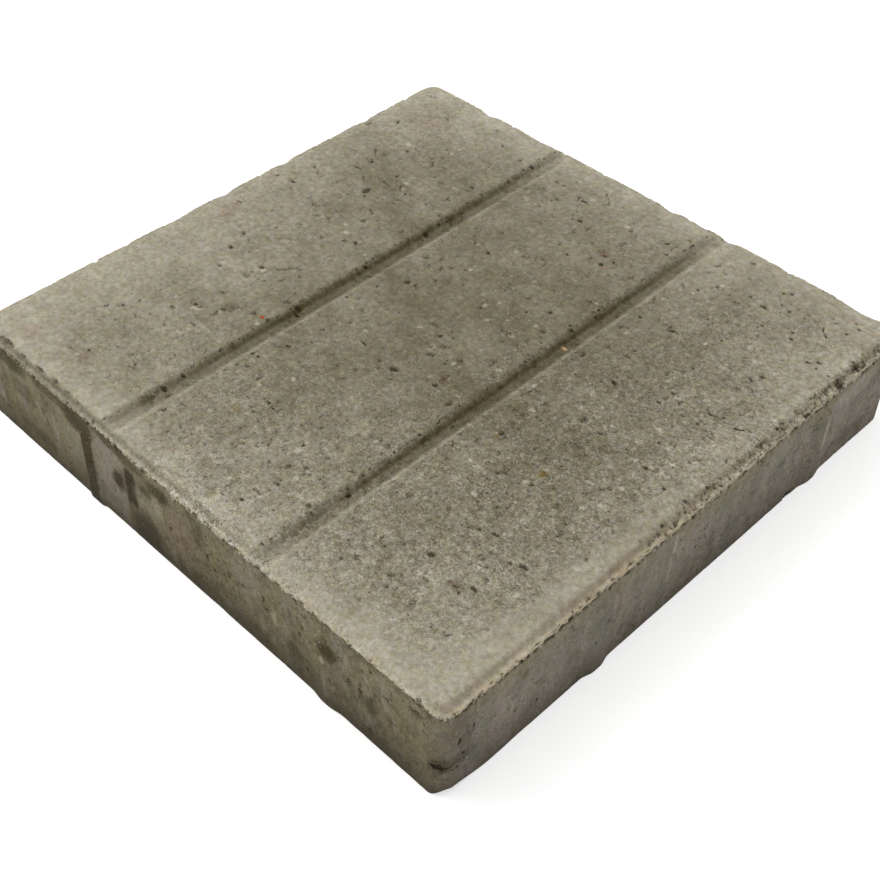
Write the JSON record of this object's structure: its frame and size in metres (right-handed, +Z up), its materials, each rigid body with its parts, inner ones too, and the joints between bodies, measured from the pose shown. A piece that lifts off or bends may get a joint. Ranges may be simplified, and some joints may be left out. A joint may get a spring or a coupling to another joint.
{
  "type": "grooved concrete paving slab",
  "caption": "Square cast concrete paving slab with a flat bed, parallel grooves along its top, a stepped rim and low spacer nibs on its sides.",
  "frame": {"origin": "centre of the bed face, on the ground", "axes": "+Z up through the slab's thickness, from the bed to the grooved top; +Y along the grooves; +X across them"},
  "size_m": [0.404, 0.404, 0.07],
  "materials": {
    "concrete": "matte"
  },
  "bodies": {
    "root": {"slab": "concrete"}
  },
  "joints": []
}
